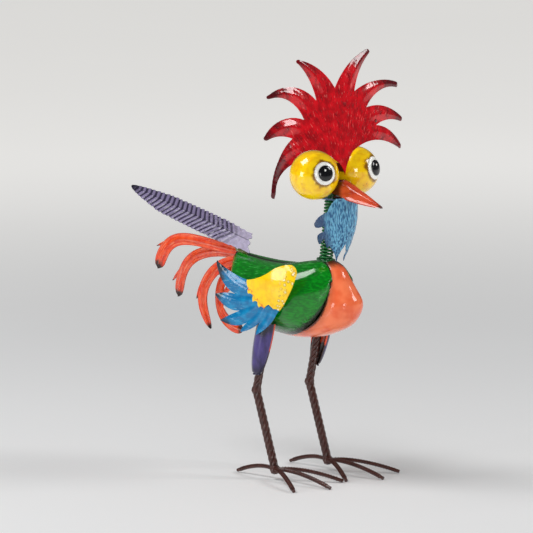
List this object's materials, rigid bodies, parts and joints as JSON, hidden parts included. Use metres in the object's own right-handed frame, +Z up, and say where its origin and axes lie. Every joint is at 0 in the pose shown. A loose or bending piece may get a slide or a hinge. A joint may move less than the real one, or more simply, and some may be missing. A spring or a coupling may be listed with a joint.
{
  "type": "garden bird whirligig",
  "caption": "Free-standing painted sheet-metal garden bird with a horned crest and ball eyes, whose head bobs on a coil spring neck.",
  "frame": {"origin": "on the floor, midway between the weld beads of the two feet", "axes": "+Z up; the bird faces -Y; its left side is +X; the mirror plane of the body is X = 0"},
  "size_m": [0.2729, 0.5203, 0.6093],
  "materials": {
    "beard_blue": "gloss enamel",
    "green_enamel": "gloss enamel",
    "orange_enamel": "gloss enamel",
    "red_enamel": "gloss enamel",
    "eye_yellow": "gloss enamel",
    "brown_enamel": "gloss enamel",
    "eye_white": "gloss enamel",
    "beak_orange": "gloss enamel",
    "green_spring": "gloss enamel",
    "pupil_black": "gloss enamel",
    "grey_purple_enamel": "gloss enamel",
    "flame_enamel": "gloss enamel",
    "brass_weld": "gloss enamel",
    "purple_enamel": "gloss enamel",
    "yellow_enamel": "gloss enamel",
    "blue_enamel": "gloss enamel"
  },
  "bodies": {
    "torso": {"body_shell_left": "green_enamel", "body_shell_right": "green_enamel", "breast_panel": "orange_enamel", "foot_weld_left": "brown_enamel", "foot_weld_right": "brown_enamel", "hock_weld_left": "brown_enamel", "hock_weld_right": "brown_enamel", "neck_socket": "green_enamel", "shank_left": "brown_enamel", "shank_right": "brown_enamel", "tail_feather": "grey_purple_enamel", "tail_plume_inner": "flame_enamel", "tail_plume_lower": "flame_enamel", "tail_plume_middle": "flame_enamel", "tail_plume_upper": "flame_enamel", "tail_socket": "brass_weld", "thigh_left": "purple_enamel", "thigh_right": "purple_enamel", "toe_hind_left": "brown_enamel", "toe_hind_right": "brown_enamel", "toe_inner_left": "brown_enamel", "toe_inner_right": "brown_enamel", "toe_middle_left": "brown_enamel", "toe_middle_right": "brown_enamel", "toe_outer_left": "brown_enamel", "toe_outer_right": "brown_enamel", "upper_leg_left": "brown_enamel", "upper_leg_right": "brown_enamel", "wing_cover_left": "yellow_enamel", "wing_cover_right": "yellow_enamel", "wing_feathers_left": "blue_enamel", "wing_feathers_right": "blue_enamel"},
    "neck_foot": {"neck_spring_lower": "green_spring"},
    "neck_middle": {"neck_spring_middle": "green_spring"},
    "head": {"neck_spring_upper": "green_spring", "neck_post": "green_spring", "eye_bar": "brown_enamel", "chin_plate": "beard_blue", "crest_tab": "red_enamel", "crest": "red_enamel", "crest_rivet": "red_enamel", "eye_ball_right": "eye_yellow", "eye_ball_left": "eye_yellow", "eye_ring_right": "eye_white", "eye_ring_left": "eye_white", "pupil_right": "pupil_black", "pupil_left": "pupil_black", "upper_beak": "beak_orange", "lower_beak": "beak_orange", "beard": "beard_blue"}
  },
  "joints": [
    {"name": "head_twist", "type": "hinge", "parent": "torso", "child": "neck_foot", "pos_m": [0, -0.04875, 0.31595], "axis": [0, -0.1253, 0.9921], "range_deg": [-12, 12], "stiffness_Nm_per_rad": 2},
    {"name": "head_sway", "type": "hinge", "parent": "neck_foot", "child": "neck_middle", "pos_m": [0, -0.05026, 0.32786], "axis": [0, 0.9921, 0.1253], "range_deg": [-28, 28], "stiffness_Nm_per_rad": 4},
    {"name": "head_nod", "type": "hinge", "parent": "neck_middle", "child": "head", "pos_m": [0, -0.05251, 0.34572], "axis": [1, 0, 0], "range_deg": [-28, 7], "stiffness_Nm_per_rad": 4}
  ]
}
